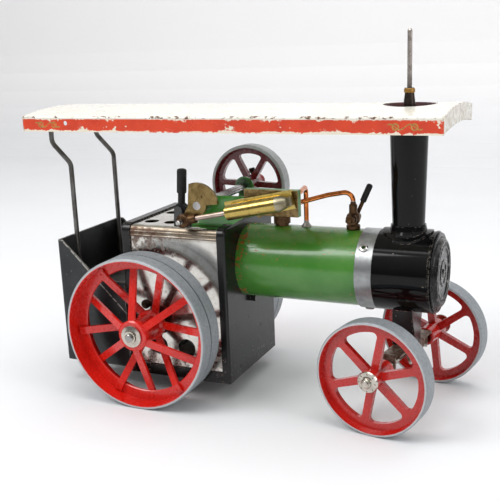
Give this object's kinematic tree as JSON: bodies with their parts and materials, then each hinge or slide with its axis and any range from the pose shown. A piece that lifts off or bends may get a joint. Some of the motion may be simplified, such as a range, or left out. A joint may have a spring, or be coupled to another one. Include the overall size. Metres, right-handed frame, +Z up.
{
  "type": "model steam traction engine",
  "caption": "Free-standing toy live-steam traction engine: horizontal boiler over a firebox, oscillating cylinder, flywheel, canopy, steered front axle and four spoked wheels.",
  "frame": {"origin": "on the ground plane, under the centre of the bounding box", "axes": "+X forward, towards the smokebox; +Z up; the cylinder side is -Y"},
  "size_m": [0.221, 0.1104, 0.176],
  "materials": {
    "firebox_shell": "bright nickel plate with rust staining",
    "firebox_front_plate": "gloss black enamel, chipped",
    "firebox_rear_plate": "gloss black enamel, chipped",
    "base_tray": "gloss black enamel, chipped",
    "tender_body": "semi-gloss black enamel, worn",
    "bunker_floor": "dull tinned steel",
    "assembly_screws": "blackened steel",
    "burner_tray": "dull tinned steel",
    "fuel_tablets": "pressed white solid fuel",
    "boiler_shell": "mid-green enamel, chipped",
    "boiler_ends": "bare brass, heat stained",
    "boiler_band": "brushed",
    "band_rivets": "bright turned steel",
    "smokebox_shell": "gloss black enamel, chipped",
    "smokebox_door": "gloss black enamel, chipped",
    "chimney": "gloss black enamel, chipped",
    "chimney_saddle": "gloss black enamel, chipped",
    "canopy_roof": "cream enamel with red-orange fascias, chipped edges",
    "canopy_crossbar": "cream enamel with red-orange fascias, chipped edges",
    "canopy_posts": "dark steel wire",
    "rear_wheel_near": "bright red enamel, bare grey tyre",
    "rear_wheel_far": "bright red enamel, bare grey tyre",
    "rear_axle": "bright turned steel",
    "rear_hub_caps": "nickel plate",
    "rear_axle_bushes": "aged brass",
    "perch_bracket": "gloss black enamel, chipped",
    "front_axle_beam": "worn plating with brown rust",
    "king_pin": "bright turned steel",
    "front_axle_rod": "nickel plate",
    "front_wheel_near": "bright red enamel, bare grey tyre",
    "front_wheel_far": "bright red enamel, bare grey tyre",
    "front_hub_caps": "nickel plate",
    "steering_rod": "nickel plate",
    "steering_ferrule": "dark bronze patina",
    "engine_frame": "bright green enamel",
    "crank_bearings": "aged brass",
    "crankshaft": "bright turned steel",
    "crank_web": "aged brass",
    "flywheel": "dark red enamel, bare turned rim",
    "drive_pulley": "dark red enamel, bare turned rim",
    "pulley_set_screw": "blackened steel",
    "port_block": "aged brass",
    "cylinder_barrel": "polished brass",
    "cylinder_end_plug": "soft-solder grey over brass",
    "trunnion_pin": "bright turned steel",
    "trunnion_spring": "blued spring wire",
    "piston_rod": "bright turned steel",
    "big_end": "aged brass",
    "crank_pin": "bright turned steel",
    "reversing_lever": "matte black sleeve",
    "reversing_grip": "matte black sleeve",
    "reversing_link": "bright turned steel",
    "reversing_valve": "aged brass",
    "safety_valve_body": "dark bronze patina",
    "safety_valve_plunger": "aged brass",
    "regulator_body": "dark bronze patina",
    "regulator_plug": "dark bronze patina",
    "regulator_grip": "matte black sleeve",
    "steam_pipe": "bright copper tube",
    "exhaust_pipe": "bright copper tube"
  },
  "bodies": {
    "chassis": {"firebox_shell": "firebox_shell", "firebox_front_plate": "firebox_front_plate", "firebox_rear_plate": "firebox_rear_plate", "base_tray": "base_tray", "tender_body": "tender_body", "bunker_floor": "bunker_floor", "assembly_screws": "assembly_screws", "boiler_shell": "boiler_shell", "boiler_ends": "boiler_ends", "boiler_band": "boiler_band", "band_rivets": "band_rivets", "smokebox_shell": "smokebox_shell", "smokebox_door": "smokebox_door", "chimney": "chimney", "chimney_saddle": "chimney_saddle", "canopy_roof": "canopy_roof", "canopy_crossbar": "canopy_crossbar", "canopy_posts": "canopy_posts", "rear_axle_bushes": "rear_axle_bushes", "perch_bracket": "perch_bracket", "engine_frame": "engine_frame", "crank_bearings": "crank_bearings", "port_block": "port_block", "trunnion_spring": "trunnion_spring", "safety_valve_body": "safety_valve_body", "regulator_body": "regulator_body", "steam_pipe": "steam_pipe", "exhaust_pipe": "exhaust_pipe"},
    "rear_wheels": {"rear_wheel_near": "rear_wheel_near", "rear_wheel_far": "rear_wheel_far", "rear_axle": "rear_axle", "rear_hub_caps": "rear_hub_caps"},
    "crank": {"crankshaft": "crankshaft", "crank_web": "crank_web", "flywheel": "flywheel", "drive_pulley": "drive_pulley", "pulley_set_screw": "pulley_set_screw"},
    "cylinder": {"cylinder_barrel": "cylinder_barrel", "cylinder_end_plug": "cylinder_end_plug", "trunnion_pin": "trunnion_pin"},
    "piston": {"piston_rod": "piston_rod", "big_end": "big_end", "crank_pin": "crank_pin"},
    "reversing_lever_body": {"reversing_lever": "reversing_lever", "reversing_grip": "reversing_grip"},
    "reversing_link_body": {"reversing_link": "reversing_link"},
    "reversing_valve_body": {"reversing_valve": "reversing_valve"},
    "regulator": {"regulator_plug": "regulator_plug", "regulator_grip": "regulator_grip"},
    "safety_plunger": {"safety_valve_plunger": "safety_valve_plunger"},
    "burner": {"burner_tray": "burner_tray", "fuel_tablets": "fuel_tablets"},
    "front_axle": {"front_axle_beam": "front_axle_beam", "front_axle_rod": "front_axle_rod", "king_pin": "king_pin", "front_hub_caps": "front_hub_caps", "steering_rod": "steering_rod", "steering_ferrule": "steering_ferrule"},
    "front_wheel_near_body": {"front_wheel_near": "front_wheel_near"},
    "front_wheel_far_body": {"front_wheel_far": "front_wheel_far"}
  },
  "joints": [
    {"name": "rear_axle_spin", "type": "hinge", "parent": "chassis", "child": "rear_wheels", "pos_m": [-0.0432, 0, 0.038], "axis": [0, 1, 0], "continuous": true},
    {"name": "crank_spin", "type": "hinge", "parent": "chassis", "child": "crank", "pos_m": [-0.0163, 0, 0.0985], "axis": [0, 1, 0], "continuous": true},
    {"name": "cylinder_swing", "type": "hinge", "parent": "chassis", "child": "cylinder", "pos_m": [0.0199, -0.026, 0.1003], "axis": [0, 1, 0], "range_deg": [-6.28, 24.11]},
    {"name": "piston_stroke", "type": "slide", "parent": "cylinder", "child": "piston", "axis": [0.979, 0, 0.2038], "range_m": [-0.00228, 0.01672]},
    {"name": "reversing_lever_swing", "type": "hinge", "parent": "chassis", "child": "reversing_lever_body", "pos_m": [-0.0312, -0.017, 0.094], "axis": [0, 1, 0], "range_deg": [-15, 15]},
    {"name": "reversing_link_swing", "type": "hinge", "parent": "reversing_lever_body", "child": "reversing_link_body", "pos_m": [-0.03145, -0.014, 0.09041], "axis": [0, 1, 0], "range_deg": [-15, 15]},
    {"name": "reversing_valve_turn", "type": "hinge", "parent": "chassis", "child": "reversing_valve_body", "pos_m": [0.0108, -0.02, 0.097], "axis": [0, 1, 0], "range_deg": [-15, 15]},
    {"name": "regulator_turn", "type": "hinge", "parent": "chassis", "child": "regulator", "pos_m": [0.0516, 0, 0.0899], "axis": [0, 1, 0], "range_deg": [-24, 50]},
    {"name": "safety_valve_lift", "type": "slide", "parent": "chassis", "child": "safety_plunger", "axis": [0, 0, 1], "range_m": [0, 0.0015], "stiffness_N_per_m": 200, "springref_m": -0.0005},
    {"name": "burner_slide", "type": "slide", "parent": "chassis", "child": "burner", "axis": [-1, 0, 0], "range_m": [0, 0.07]},
    {"name": "steering", "type": "hinge", "parent": "chassis", "child": "front_axle", "pos_m": [0.0781, 0, 0.03], "axis": [0, 0, 1], "range_deg": [-15.7, 34.3]},
    {"name": "front_wheel_near_spin", "type": "hinge", "parent": "front_axle", "child": "front_wheel_near_body", "pos_m": [0.0781, 0, 0.0266], "axis": [0.1616, 0.9869, 0], "continuous": true},
    {"name": "front_wheel_far_spin", "type": "hinge", "parent": "front_axle", "child": "front_wheel_far_body", "pos_m": [0.0781, 0, 0.0266], "axis": [0.1616, 0.9869, 0], "continuous": true}
  ],
  "couplings": [
    {"joint": "reversing_link_swing", "follows": "reversing_lever_swing", "ratio": -1},
    {"joint": "reversing_valve_turn", "follows": "reversing_lever_swing", "ratio": 1}
  ]
}
